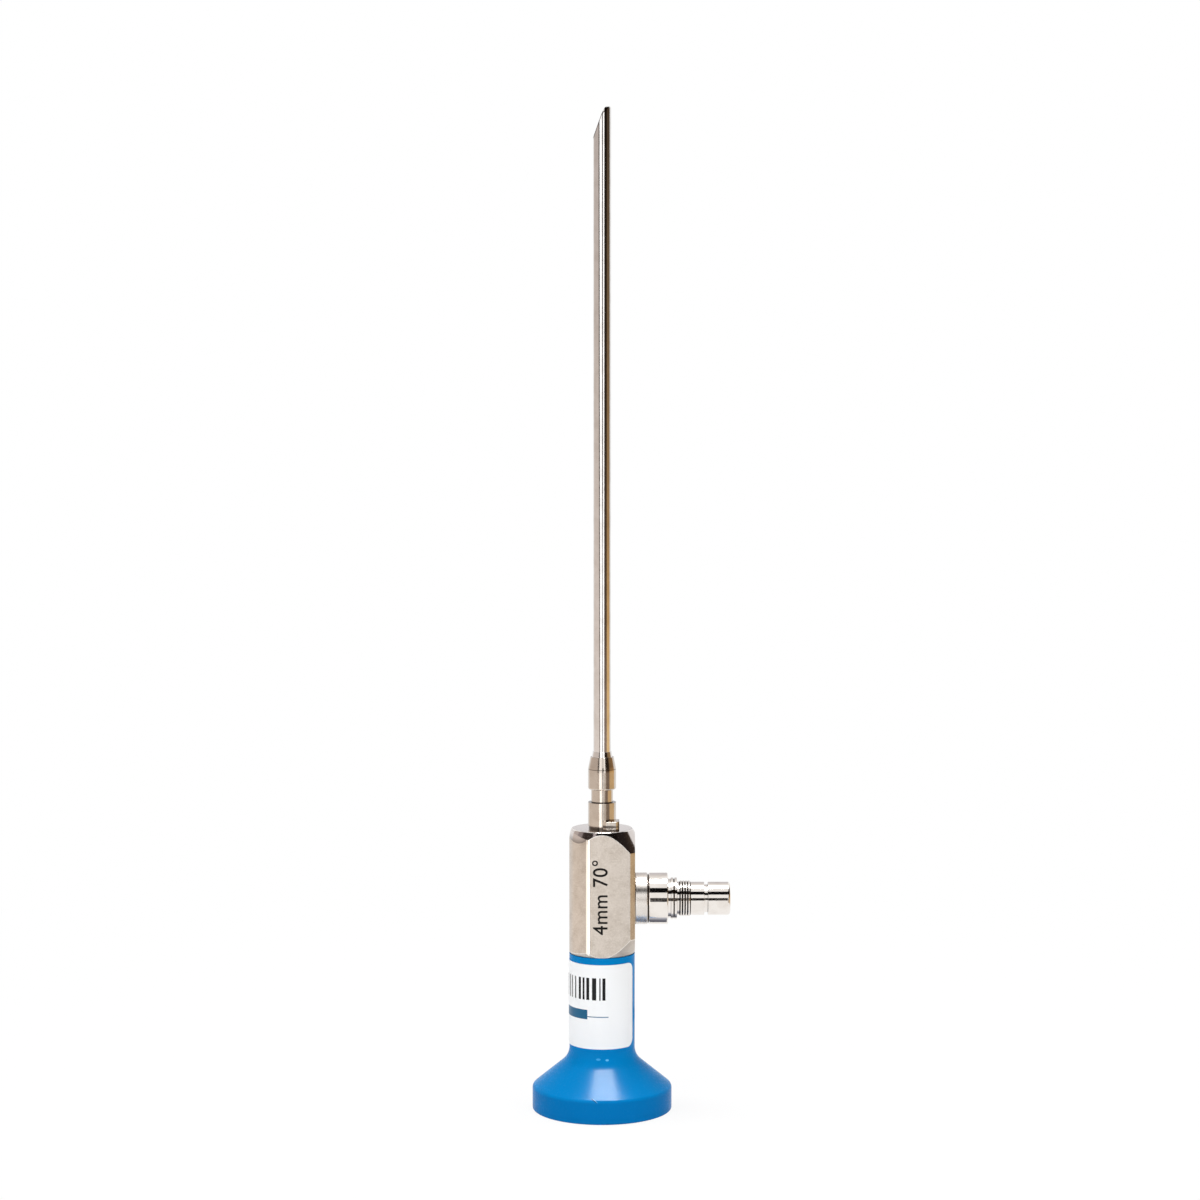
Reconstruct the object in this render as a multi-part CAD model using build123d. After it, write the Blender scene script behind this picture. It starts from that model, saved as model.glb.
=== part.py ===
# Rigid endoscope with a 4 mm shaft and a 70 degree direction of view, standing on its eyepiece.
# Millimetres. The origin is the centre of the eyepiece face, on the shaft axis. +Z runs up
# the shaft to the tip, +X points along the light post, and the tip looks towards -X.

import os
from math import cos, radians, sin, tan

from build123d import *

# Fits
slide_fit = 0.03            # radial gap of a turned spigot in its bore
glass_fit = 0.06            # radial gap of a lens in its tube
skin_fit = 0.02             # gap under the label and round the light fibres
close_enough = 0.01         # distance at which an edge counts as lying on a face

# Eyepiece cup
cup_radius = 16.0
cup_rim_height = 5.3
cup_rim_rounding = 1.0
cup_edge_rounding = 0.35
cup_cone_angle = 50.5       # from the axis
cup_length = 36.2
neck_radius = 7.5
neck_fillet = 4.5
face_land = 2.6             # width of the flat ring that rests on a surface
dish_depth = 6.2
dish_floor_radius = 6.8

# Eyepiece window, its gasket and its threaded ring
window_radius = 5.5
window_thickness = 1.5
gasket_thickness = 0.5
gasket_width = 0.9
ring_thickness = 1.6
ring_width = 1.3
ring_recess = 0.3
spanner_slot = 1.0
throat_length = 2.0

# Ocular
barrel_radius = 4.8
barrel_wall = 0.6
barrel_lip = 0.5
eye_lens_edge = 2.2
field_lens_edge = 1.8
ocular_sag = 0.55
ocular_spacer_length = 8.5
ocular_spacer_wall = 0.5
field_stop_thickness = 0.4
field_stop_aperture = 1.0
field_notch = 0.3
disc_spring_thickness = 0.25
disc_spring_height = 0.7

# Body, milled from square bar and turned at both ends
body_length = 28.8
body_flat = 7.3             # axis to the front and back flats
body_side = 7.5             # axis to the light post face, and to the crown of the round side
body_crown_radius = 8.4
body_crown_blend = 1.3      # between the round side and the flats
body_corner_radius = 9.7
body_end_angle = 30.0       # from the axis
body_top_radius = 6.95
body_foot_radius = 7.3
body_top_rounding = 0.25
crown_top_height = 2.7      # softened top end of the round side
crown_top_depth = 0.45
spigot_length = 9.9
spigot_wall = 1.2           # of the cup, round the spigot
web_thickness = 2.5
barrel_reach = 2.5          # length of the barrel held above the foot of the body
chamber_radius = 4.6
chamber_roof = 7.0

# Neck seal
seal_radius = 0.4
seal_drop = 4.6             # below the foot of the body
seal_groove_width = 1.1

# Ferrule on top of the body, and the locating lug at its foot
ferrule_radius = 3.2
ferrule_undercut = 0.15
ferrule_undercut_height = 0.6
ferrule_collar_height = 6.0
ferrule_groove_radius = 2.5
ferrule_groove_width = 2.95
ferrule_barrel_height = 4.65
ferrule_barrel_rounding = 0.4
ferrule_nose_height = 2.8
ferrule_nose_radius = 2.65
ferrule_nose_rounding = 6.0
ferrule_spigot_radius = 2.9
ferrule_spigot_length = 5.0
lug_width = 3.75
lug_height = 2.0
lug_reach = 4.4
lug_offset = 0.15
lug_chamfer = 0.75
lug_groove = 0.2

# Shaft
overall_height = 228.0
sheath_radius = 2.0
sheath_wall = 0.2
sheath_base_radius = 2.2    # thickened end that is soldered into the ferrule and the body
sheath_shoulder_radius = 2.35   # coned shoulder that rests on the ferrule
sheath_shoulder_height = 1.2
sheath_shoulder_tip = 2.13
optics_tube_radius = 1.45
optics_tube_wall = 0.12
bush_radius = 3.0
bush_length = 4.2
bush_lip = 0.6
bush_aperture = 1.0

# Rod lens train
rod_count = 6
rod_sag = 0.12
rod_land = 0.25
rod_spacer_length = 3.2
rod_spacer_wall = 0.2

# Tip
view_angle = 70.0           # direction of view from the shaft axis
bevel_rise = 6.8            # low end of the bevel to the tip
shoulder_drop = 1.7         # shoulder above the bevel to the tip
shoulder_rounding = 1.2
nose_offset = 0.7           # axis to the start of the flat nose
nose_rounding = 0.9
tip_rounding = 0.35
tip_window_radius = 1.1
tip_window_thickness = 0.5
mirror_rise = 2.1           # low end of the bevel to where the mirror crosses the axis
prism_drop = 4.4            # prism foot to where the mirror crosses the axis
mirror_gap = 0.05
objective_front_edge = 0.8
objective_front_sag = 0.3
objective_gap = 0.6
objective_rear_edge = 1.4

# Light post
post_rise = 12.5            # foot of the body to the axis of the post
post_core_radius = 3.0
post_core_reach = 2.5       # length held in the wall of the body
post_ring_radius = 5.9
post_ring_rounding = 0.25
post_inner_ring = 2.9
post_seam_radius = 5.5
post_seam = 0.22
post_outer_ring = 4.4
post_neck_radius = 4.5
post_neck_length = 0.7
post_flange_radius = 4.8
post_flange_length = 1.35
post_flange_groove = 0.3
post_relief_radius = 3.85
post_relief_length = 0.65
post_thread_radius = 4.1
post_thread_pitch = 0.6
post_thread_ridges = 4
post_thread_flank = 0.18    # length of each sloping side of a ridge
post_nozzle_radius = 3.8
post_nozzle_length = 3.2
post_catch_radius = 3.2
post_catch_width = 0.85
post_end_length = 5.1
post_end_rounding = 0.6

# Light fibres
fibre_rod_radius = 2.0
fibre_rod_start = 2.0       # beyond the side of the body
fibre_rod_fan = 2.5         # length over which the bundle widens
fibre_strand_radius = 1.1
fibre_strand_bend = 3.8
fibre_strand_gap = 0.1      # between the strand and the optics tube
fibre_tail = 1.0            # length of the sleeve below the roof of the chamber

# Adhesive label round the neck
label_thickness = 0.12
label_top_margin = 1.5      # label to the foot of the body
label_foot_margin = 0.87    # label to the start of the flare
label_corner = 1.9
label_right_angle = 65.0    # from the front, towards the light post
label_left_angle = 125.0    # from the front, the other way

# Heights that follow
window_foot = dish_depth + ring_recess + ring_thickness
gasket_foot = window_foot + window_thickness
window_seat = gasket_foot + gasket_thickness
barrel_foot = window_seat + throat_length
body_foot = cup_length
cone_top = cup_rim_height + (cup_radius - neck_radius) / tan(radians(cup_cone_angle))
flare_start = cone_top + neck_fillet * tan(radians(cup_cone_angle / 2))
label_foot = flare_start + label_foot_margin
label_top = body_foot - label_top_margin
post_height = body_foot + post_rise
body_top = body_foot + body_length
spigot_foot = body_foot - spigot_length
web_foot = body_foot + barrel_reach
chamber_foot = web_foot + web_thickness
chamber_top = body_top - chamber_roof
collar_top = body_top + ferrule_collar_height
ferrule_barrel_base = collar_top + ferrule_groove_width
ferrule_nose_base = ferrule_barrel_base + ferrule_barrel_height
ferrule_seam = ferrule_nose_base + ferrule_nose_height
bevel_foot = overall_height - bevel_rise
mirror_height = bevel_foot + mirror_rise
prism_foot = mirror_height - prism_drop
optics_foot = web_foot + bush_lip
sleeve_foot = chamber_top - fibre_tail

# Radii that follow
spigot_radius = neck_radius - spigot_wall - slide_fit
barrel_bore = barrel_radius + slide_fit
ocular_glass_radius = barrel_radius - barrel_wall - glass_fit
sheath_bore = sheath_radius - sheath_wall
optics_bore = optics_tube_radius - optics_tube_wall
glass_radius = optics_bore - glass_fit


def section(*corners):
    """Closed outline from (radius, height) corners."""
    return make_face(Polyline(*corners, close=True))


def rounded(face, corner, radius):
    """The outline with the corner nearest to this point rounded."""
    return fillet(face.vertices().sort_by_distance(corner)[0], radius)


def turned(face):
    """Solid turned about the shaft axis."""
    return revolve(Plane.XZ * face, Axis.Z)


def tube(outer, inner, foot, top):
    return turned(section((inner, foot), (outer, foot), (outer, top), (inner, top)))


def rod(radius, foot, top):
    return turned(section((0, foot), (radius, foot), (radius, top), (0, top)))


def lens(radius, land, edge, sag, foot):
    """Lens domed on both faces, with a flat land round each dome."""
    top, dome = foot + edge, radius - land
    outline = (
        Polyline((dome, foot), (radius, foot), (radius, top), (dome, top))
        + RadiusArc((dome, top), (0, top + sag), -dome_radius(dome, sag))
        + Line((0, top + sag), (0, foot - sag))
        + RadiusArc((0, foot - sag), (dome, foot), -dome_radius(dome, sag)))
    return turned(make_face(outline))


def dome_radius(half_width, sag):
    """Radius of the sphere whose cap has this half width and this sag."""
    return (half_width ** 2 + sag ** 2) / (2 * sag)


def along_post(solid):
    """A solid made about +Z, laid along the light post."""
    return Pos(0, 0, post_height) * Rot(0, 90, 0) * solid


def eyepiece_cup():
    shoulder = (cup_radius, cup_rim_height)
    root = (neck_radius, cone_top)
    outer_edge, inner_edge = (cup_radius, 0), (cup_radius - face_land, 0)
    spigot_bore = spigot_radius + slide_fit
    spigot_floor = spigot_foot - slide_fit
    window_bore = window_radius + slide_fit
    throat = window_radius - gasket_width
    face = section(
        inner_edge, outer_edge, shoulder, root, (neck_radius, cup_length),
        (spigot_bore, cup_length), (spigot_bore, spigot_floor),
        (barrel_bore, spigot_floor), (barrel_bore, barrel_foot),
        (throat, barrel_foot), (throat, window_seat),
        (window_bore, window_seat), (window_bore, dish_depth), (dish_floor_radius, dish_depth))
    face = rounded(face, root, neck_fillet)
    face = rounded(face, shoulder, cup_rim_rounding)
    face = rounded(face, outer_edge, cup_edge_rounding)
    face = rounded(face, inner_edge, cup_edge_rounding)
    return turned(face)


def window_ring():
    """Threaded ring that holds the eyepiece window, with two spanner slots."""
    foot = window_foot - ring_thickness
    ring = tube(window_radius, window_radius - ring_width, foot, window_foot)
    slots = Pos(0, 0, foot) * Box(3 * window_radius, spanner_slot, ring_thickness)
    return ring - slots


def ocular_barrel():
    bore = barrel_radius - barrel_wall
    lip = bore - barrel_lip
    lip_top = barrel_foot + barrel_lip
    return turned(section(
        (lip, barrel_foot), (barrel_radius, barrel_foot), (barrel_radius, web_foot),
        (bore, web_foot), (bore, lip_top), (lip, lip_top)))


def ocular_stack():
    """Lenses, spacers, disc spring and field stop inside the barrel, from the eye upwards."""
    land = ocular_spacer_wall + glass_fit
    spacer_bore = ocular_glass_radius - ocular_spacer_wall
    eye_foot = barrel_foot + barrel_lip
    spacer_foot = eye_foot + eye_lens_edge
    field_foot = spacer_foot + ocular_spacer_length
    long_spacer_foot = field_foot + field_lens_edge
    stop_foot = web_foot - field_stop_thickness
    spring_foot = stop_foot - disc_spring_height
    spring = section(
        (ocular_glass_radius, spring_foot),
        (ocular_glass_radius, spring_foot + disc_spring_thickness),
        (bush_radius, stop_foot), (bush_radius, stop_foot - disc_spring_thickness))
    notch = Pos(field_stop_aperture, 0, stop_foot) * Box(
        2 * field_notch, field_notch, 4 * field_stop_thickness)
    return {
        "ocular_eye_lens": lens(ocular_glass_radius, land, eye_lens_edge, ocular_sag, eye_foot),
        "ocular_spacer": tube(ocular_glass_radius, spacer_bore, spacer_foot, field_foot),
        "ocular_field_lens": lens(ocular_glass_radius, land, field_lens_edge, ocular_sag, field_foot),
        "ocular_long_spacer": tube(ocular_glass_radius, spacer_bore, long_spacer_foot, spring_foot),
        "disc_spring": turned(spring),
        "field_stop": tube(ocular_glass_radius, field_stop_aperture, stop_foot, web_foot) - notch,
    }


def body_blank():
    """Square bar with one side crowned, its corners turned off and both ends coned."""
    middle = body_foot + body_length / 2
    wide = 4 * body_corner_radius
    bar = Pos(body_side - wide / 2, 0, middle) * Box(wide, 2 * body_flat, body_length)
    slope = tan(radians(body_end_angle))
    foot_cone = (body_corner_radius - body_foot_radius) / slope
    top_cone = (body_corner_radius - body_top_radius) / slope
    ends = section(
        (0, body_foot), (body_foot_radius, body_foot), (body_corner_radius, body_foot + foot_cone),
        (body_corner_radius, body_top - top_cone), (body_top_radius, body_top), (0, body_top))
    ends = turned(rounded(ends, (body_top_radius, body_top), body_top_rounding))
    blend_foot = (body_crown_radius, body_top - crown_top_height)
    blend_top = (body_crown_radius - crown_top_depth, body_top)
    crown_outline = (
        Polyline(blend_top, (0, body_top), (0, body_foot), (body_crown_radius, body_foot), blend_foot)
        + TangentArc(blend_foot, blend_top, tangent=(0, 1)))
    crown = Pos(body_crown_radius - body_side, 0, 0) * turned(make_face(crown_outline))
    post_side = Pos(wide / 2, 0, middle) * Box(wide, wide, body_length)
    blank = bar & (crown + post_side)
    crown_corners = blank.edges().filter_by(lambda edge: edge.center().X < 0 and lies_on_flat(edge))
    return fillet(crown_corners, body_crown_blend) & ends


def lies_on_flat(edge):
    """True for an edge that runs up the front or back flat."""
    ends_of_edge = (edge @ 0, edge @ 1)
    on_flat = all(abs(abs(point.Y) - body_flat) < close_enough for point in ends_of_edge)
    return on_flat and abs(ends_of_edge[0].Z - ends_of_edge[1].Z) > crown_top_height / 2


def body_housing():
    spigot = tube(spigot_radius, barrel_bore, spigot_foot, body_foot)
    seal_middle = body_foot - seal_drop
    seal_groove = tube(
        neck_radius, spigot_radius - 2 * seal_radius,
        seal_middle - seal_groove_width / 2, seal_middle + seal_groove_width / 2)
    bores = [
        rod(barrel_bore, body_foot, web_foot),
        rod(bush_radius + slide_fit, web_foot, chamber_foot),
        rod(chamber_radius, chamber_foot, chamber_top),
        rod(sheath_base_radius + slide_fit, chamber_top, body_top),
        rod(ferrule_spigot_radius + slide_fit, body_top - ferrule_spigot_length - slide_fit, body_top),
        along_post(rod(post_core_radius + slide_fit, 0, 2 * body_side)),
    ]
    return body_blank() + spigot - seal_groove - bores


def neck_seal():
    ring_radius = spigot_radius + slide_fit / 2 - seal_radius
    return Pos(0, 0, body_foot - seal_drop) * Torus(ring_radius, seal_radius)


def sheath_ferrule():
    """Collar, catch groove and tapered barrel, turned in one piece."""
    bore = sheath_base_radius + slide_fit
    waist = ferrule_radius - ferrule_undercut
    waist_top = body_top + ferrule_undercut_height
    spigot_base = body_top - ferrule_spigot_length
    face = section(
        (bore, spigot_base), (ferrule_spigot_radius, spigot_base), (ferrule_spigot_radius, body_top),
        (waist, body_top), (waist, waist_top), (ferrule_radius, waist_top), (ferrule_radius, collar_top),
        (ferrule_groove_radius, collar_top), (ferrule_groove_radius, ferrule_barrel_base),
        (ferrule_radius, ferrule_barrel_base), (ferrule_radius, ferrule_nose_base),
        (ferrule_nose_radius, ferrule_seam), (bore, ferrule_seam))
    face = rounded(face, (ferrule_radius, ferrule_barrel_base), ferrule_barrel_rounding)
    face = rounded(face, (ferrule_radius, ferrule_nose_base), ferrule_nose_rounding)
    return turned(face)


def locating_lug():
    """Block against the foot of the ferrule, chamfered at both front corners and undercut."""
    middle = lug_offset + lug_width / 2
    block = Pos(middle, -lug_reach / 2, body_top + lug_height / 2) * Box(lug_width, lug_reach, lug_height)
    front_corners = block.edges().filter_by(Axis.Z).group_by(Axis.Y)[0]
    block = chamfer(front_corners, lug_chamfer)
    block = fillet(block.edges().group_by(Axis.Z)[-1].sort_by(Axis.Y)[0], lug_groove)
    seat = rod(ferrule_radius + slide_fit, body_top - lug_height, body_top + 2 * lug_height)
    undercut = Pos(middle, -lug_reach, body_top + ferrule_undercut_height) * Box(
        2 * lug_width, lug_groove, lug_groove)
    return block - seat - undercut


def shaft_blank():
    """Bar of the shaft's diameter with its bevelled and rounded tip."""
    reach = 2 * sheath_radius
    lean = tan(radians(90 - view_angle))
    shoulder = (-sheath_radius + (bevel_rise - shoulder_drop) * lean, overall_height - shoulder_drop)
    nose = (nose_offset, overall_height)
    outline = section(
        (-sheath_radius - reach * lean, sleeve_foot), (-sheath_radius - reach * lean, bevel_foot - reach),
        shoulder, nose, (reach, overall_height), (reach, sleeve_foot))
    outline = rounded(outline, shoulder, shoulder_rounding)
    outline = rounded(outline, nose, nose_rounding)
    bar = section(
        (0, sleeve_foot), (sheath_radius, sleeve_foot),
        (sheath_radius, overall_height), (0, overall_height))
    bar = turned(rounded(bar, (sheath_radius, overall_height), tip_rounding))
    return bar & extrude(Plane.XZ * outline, reach, both=True)


def under_bevel(depth):
    """Plane parallel to the bevel, this far under it, at the line of sight and facing out."""
    sight = Vector(-sin(radians(view_angle)), 0, cos(radians(view_angle)))
    mirror_point = Vector(0, 0, mirror_height)
    window_distance = (Vector(-sheath_radius, 0, bevel_foot) - mirror_point).dot(sight)
    return Plane(origin=mirror_point + sight * (window_distance - depth), z_dir=sight)


def above(plane):
    """Block that fills the outer side of a plane."""
    size = 6 * bevel_rise
    return plane * Box(size, size, size, align=(Align.CENTER, Align.CENTER, Align.MIN))


def prism(radius, gap):
    """Ground rod with its entry face under the window and its mirror across the axis."""
    turn = radians(view_angle / 2)
    mirror_normal = Vector(cos(turn), 0, sin(turn))
    mirror = Plane(origin=Vector(0, 0, mirror_height) + mirror_normal * gap, z_dir=mirror_normal)
    blank = rod(radius, prism_foot, overall_height)
    return blank - above(under_bevel(tip_window_thickness)) - above(mirror)


def window_disc(radius, length):
    return under_bevel(tip_window_thickness) * Cylinder(
        radius, length, align=(Align.CENTER, Align.CENTER, Align.MIN))


def sheath_tube():
    """Outer tube of the shaft, with the thickened base and coned shoulder that seat it."""
    wall_only = tube(2 * sheath_radius, sheath_bore, chamber_top, 2 * overall_height)
    shoulder_top = ferrule_seam + sheath_shoulder_height
    base = turned(section(
        (sheath_bore, chamber_top), (sheath_base_radius, chamber_top),
        (sheath_base_radius, ferrule_seam), (sheath_shoulder_radius, ferrule_seam),
        (sheath_shoulder_tip, shoulder_top), (sheath_bore, shoulder_top)))
    return (shaft_blank() & wall_only) + base


def fibre_sleeve():
    """Light fibres between the two tubes, potted solid round the prism and the window."""
    core = shaft_blank() & rod(sheath_bore - skin_fit, sleeve_foot, 2 * overall_height)
    optics_space = rod(optics_tube_radius + skin_fit, 0, prism_foot)
    window_pocket = window_disc(tip_window_radius + skin_fit, bevel_rise)
    return core - optics_space - prism(optics_bore, mirror_gap) - window_pocket


def fibre_strand():
    """Strand that leaves the sleeve in the chamber and bends into the light post."""
    offset = optics_tube_radius + fibre_strand_gap + fibre_strand_radius
    bend_start = (offset, 0, post_height + fibre_strand_bend)
    bend_end = (offset + fibre_strand_bend, 0, post_height)
    route = (
        Line((offset, 0, sleeve_foot), bend_start)
        + TangentArc(bend_start, bend_end, tangent=(0, 0, -1))
        + Line(bend_end, (body_side + fibre_rod_start, 0, post_height)))
    start = Plane(origin=(offset, 0, sleeve_foot), z_dir=(0, 0, -1))
    return sweep(start * Circle(fibre_strand_radius), path=route)


def fibre_rod():
    foot = body_side + fibre_rod_start
    fan_end = foot + fibre_rod_fan
    return along_post(turned(section(
        (0, foot), (fibre_strand_radius, foot), (fibre_rod_radius, fan_end),
        (fibre_rod_radius, post_end()), (0, post_end()))))


def optics_bush():
    """Bush that centres the optics tube in the body, with a lip that carries the train."""
    bore = optics_tube_radius + slide_fit
    top = web_foot + bush_length
    return turned(section(
        (bush_aperture, web_foot), (bush_radius, web_foot), (bush_radius, top),
        (bore, top), (bore, optics_foot), (bush_aperture, optics_foot)))


def objective():
    """Front lens hollowed towards the train, spacer ring and rear lens, from the prism down."""
    front_foot = prism_foot - objective_front_edge
    rear_top = front_foot - objective_gap
    rear_foot = rear_top - objective_rear_edge
    hollow = glass_radius - rod_land
    front = (
        Polyline((hollow, front_foot), (glass_radius, front_foot), (glass_radius, prism_foot),
                 (0, prism_foot), (0, front_foot + objective_front_sag))
        + RadiusArc((0, front_foot + objective_front_sag), (hollow, front_foot),
                    dome_radius(hollow, objective_front_sag)))
    return rear_foot, {
        "objective_front_lens": turned(make_face(front)),
        "objective_spacer": tube(glass_radius, glass_radius - rod_spacer_wall, rear_top, front_foot),
        "objective_rear_lens": lens(glass_radius, rod_land, objective_rear_edge, rod_sag, rear_foot),
    }


def rod_lens_train(train_top):
    """Rod lenses with a spacer tube at each end and between each pair."""
    free_length = train_top - optics_foot - (rod_count + 1) * rod_spacer_length
    rod_length = free_length / rod_count
    pieces = {}
    foot = optics_foot
    for number in range(1, rod_count + 2):
        spacer_top = foot + rod_spacer_length
        pieces[f"rod_spacer_{number}"] = tube(
            glass_radius, glass_radius - rod_spacer_wall, foot, spacer_top)
        if number <= rod_count:
            pieces[f"rod_lens_{number}"] = lens(
                glass_radius, rod_land, rod_length, rod_sag, spacer_top)
        foot = spacer_top + rod_length
    return pieces


def ring_outline(foot, end):
    """Outline of a light post ring with its outer edges rounded."""
    bore = post_core_radius + slide_fit
    outline = section((bore, foot), (post_ring_radius, foot), (post_ring_radius, end), (bore, end))
    for edge in (foot, end):
        outline = rounded(outline, (post_ring_radius, edge), post_ring_rounding)
    return outline


def inner_ring_end():
    return body_side + post_inner_ring


def outer_ring_end():
    return inner_ring_end() + post_seam + post_outer_ring


def thread_end():
    return (outer_ring_end() + post_neck_length + post_flange_length + post_relief_length
            + post_thread_ridges * post_thread_pitch)


def post_end():
    return thread_end() + post_nozzle_length + post_catch_width + post_end_length


def light_post_inner_ring():
    """Ring against the body, with a narrower land that leaves a seam before the next ring."""
    seam_end = inner_ring_end() + post_seam
    land = tube(post_seam_radius, post_core_radius + slide_fit, inner_ring_end(), seam_end)
    return along_post(turned(ring_outline(body_side, inner_ring_end())) + land)


def light_post_outer_ring():
    return along_post(turned(ring_outline(inner_ring_end() + post_seam, outer_ring_end())))


def light_post_core():
    """Core that screws into the body and holds both rings under its grooved flange."""
    bore = fibre_rod_radius + slide_fit
    root = body_side - post_core_reach
    neck_end = outer_ring_end() + post_neck_length
    flange_end = neck_end + post_flange_length
    flange_middle = neck_end + post_flange_length / 2
    half_groove = post_flange_groove / 2
    relief_end = flange_end + post_relief_length
    nozzle_end = thread_end() + post_nozzle_length
    catch_end = nozzle_end + post_catch_width
    corners = [
        (bore, root), (post_core_radius, root), (post_core_radius, outer_ring_end()),
        (post_neck_radius, outer_ring_end()), (post_neck_radius, neck_end),
        (post_flange_radius, neck_end),
        (post_flange_radius, flange_middle - half_groove),
        (post_flange_radius - post_flange_groove, flange_middle - half_groove),
        (post_flange_radius - post_flange_groove, flange_middle + half_groove),
        (post_flange_radius, flange_middle + half_groove),
        (post_flange_radius, flange_end), (post_relief_radius, flange_end)]
    for ridge in range(post_thread_ridges):
        start = relief_end + ridge * post_thread_pitch
        corners += [
            (post_relief_radius, start), (post_thread_radius, start + post_thread_flank),
            (post_thread_radius, start + post_thread_pitch - post_thread_flank)]
    corners += [
        (post_relief_radius, thread_end()), (post_nozzle_radius, thread_end()),
        (post_nozzle_radius, nozzle_end),
        (post_catch_radius, nozzle_end), (post_catch_radius, catch_end), (post_nozzle_radius, catch_end),
        (post_nozzle_radius, post_end()), (bore, post_end())]
    outline = rounded(section(*corners), (post_nozzle_radius, post_end()), post_end_rounding)
    return along_post(turned(outline))


def adhesive_label():
    inner = neck_radius + skin_fit
    strip = section(
        (inner, label_foot), (inner + label_thickness, label_foot),
        (inner + label_thickness, label_top), (inner, label_top))
    sheet = revolve(Plane.XZ * strip, Axis.Z, revolution_arc=label_right_angle + label_left_angle)
    left_end, right_end = -90 - label_left_angle, -90 + label_right_angle
    sheet = Rot(0, 0, left_end) * sheet
    for end, inward in ((left_end, 1), (right_end, -1)):
        for level, rise in ((label_foot, 1), (label_top, -1)):
            sheet -= corner_waste(end, inward, level, rise)
    return sheet


def corner_waste(azimuth, inward, level, rise):
    """What is trimmed off one corner of the label, as a short prism along its radius."""
    turn = radians(azimuth)
    outward = Vector(cos(turn), sin(turn), 0)
    along = Vector(-sin(turn), cos(turn), 0) * inward
    corner = Plane(origin=outward * neck_radius + Vector(0, 0, level), x_dir=along, z_dir=outward)
    side = rise * inward
    waste = Pos(label_corner / 2, side * label_corner / 2) * Rectangle(label_corner, label_corner)
    waste -= Pos(label_corner, side * label_corner) * Circle(label_corner)
    return extrude(corner * waste, 5 * label_thickness, both=True)


objective_foot, objective_pieces = objective()

pieces = {
    "eyepiece_cup": eyepiece_cup(),
    "window_ring": window_ring(),
    "eyepiece_window": rod(window_radius, window_foot, gasket_foot),
    "window_gasket": tube(window_radius, window_radius - gasket_width, gasket_foot, window_seat),
    "ocular_barrel": ocular_barrel(),
    **ocular_stack(),
    "neck_seal": neck_seal(),
    "body_housing": body_housing(),
    "sheath_ferrule": sheath_ferrule(),
    "locating_lug": locating_lug(),
    "optics_bush": optics_bush(),
    "optics_tube": tube(optics_tube_radius, optics_bore, optics_foot, prism_foot),
    **rod_lens_train(objective_foot),
    **objective_pieces,
    "tip_prism": prism(glass_radius, 0),
    "tip_window": window_disc(tip_window_radius, tip_window_thickness),
    "sheath_tube": sheath_tube(),
    "fibre_sleeve": fibre_sleeve(),
    "fibre_strand": fibre_strand(),
    "fibre_rod": fibre_rod(),
    "light_post_inner_ring": light_post_inner_ring(),
    "light_post_outer_ring": light_post_outer_ring(),
    "light_post_core": light_post_core(),
    "adhesive_label": adhesive_label(),
}

os.makedirs("parts", exist_ok=True)
for name, piece in pieces.items():
    export_step(piece, f"parts/{name}.step")
    print(name, round(piece.volume, 3))
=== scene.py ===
from math import cos, pi, radians, sin

import bmesh
import bpy
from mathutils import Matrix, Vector


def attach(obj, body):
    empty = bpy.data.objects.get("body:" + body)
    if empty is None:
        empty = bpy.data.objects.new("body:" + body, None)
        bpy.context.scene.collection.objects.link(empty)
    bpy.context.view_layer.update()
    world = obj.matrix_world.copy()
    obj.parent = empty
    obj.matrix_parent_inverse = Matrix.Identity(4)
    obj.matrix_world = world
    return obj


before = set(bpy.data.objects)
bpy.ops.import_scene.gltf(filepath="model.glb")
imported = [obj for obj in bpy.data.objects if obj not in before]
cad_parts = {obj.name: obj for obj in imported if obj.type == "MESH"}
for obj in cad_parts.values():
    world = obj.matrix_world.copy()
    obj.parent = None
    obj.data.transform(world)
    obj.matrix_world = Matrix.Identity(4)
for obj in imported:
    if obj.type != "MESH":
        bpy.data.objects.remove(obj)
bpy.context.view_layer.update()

mm = 0.001


# Small helpers

def hexColour(code):
    # sRGB hex to linear RGBA
    parts = [int(code[i:i + 2], 16) / 255 for i in (0, 2, 4)]
    linear = [c / 12.92 if c <= 0.04045 else ((c + 0.055) / 1.055) ** 2.4 for c in parts]
    return (*linear, 1.0)


def addNode(tree, kind, inputs=None, output=0, stops=None, **settings):
    # inputs are another node's output to link, a hex colour or a plain value; stops are a ramp's
    # places and hex colours. Gives one output, or all of them where output is None
    node = tree.nodes.new("ShaderNode" + kind)
    for key, value in settings.items():
        setattr(node, key, value)
    for number, (position, colour) in enumerate(stops or []):
        if number >= len(node.color_ramp.elements):
            node.color_ramp.elements.new(position)
        node.color_ramp.elements[number].position = position
        node.color_ramp.elements[number].color = hexColour(colour)
    for key, value in (inputs or {}).items():
        if isinstance(value, bpy.types.NodeSocket):
            tree.links.new(value, node.inputs[key])
        else:
            node.inputs[key].default_value = hexColour(value) if isinstance(value, str) else value
    if output is None:
        return list(node.outputs)
    return node.outputs[output] if node.outputs else None


def newMaterial(name):
    material = bpy.data.materials.new(name)
    material.use_nodes = True
    material.node_tree.nodes.clear()
    return material, material.node_tree


def giveMaterial(material, *nodes):
    for name in nodes:
        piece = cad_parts[name]
        if not piece.material_slots:
            raise RuntimeError(name + " has no material slot")
        for materialSlot in piece.material_slots:
            materialSlot.link = "OBJECT"
            materialSlot.material = material


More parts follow.
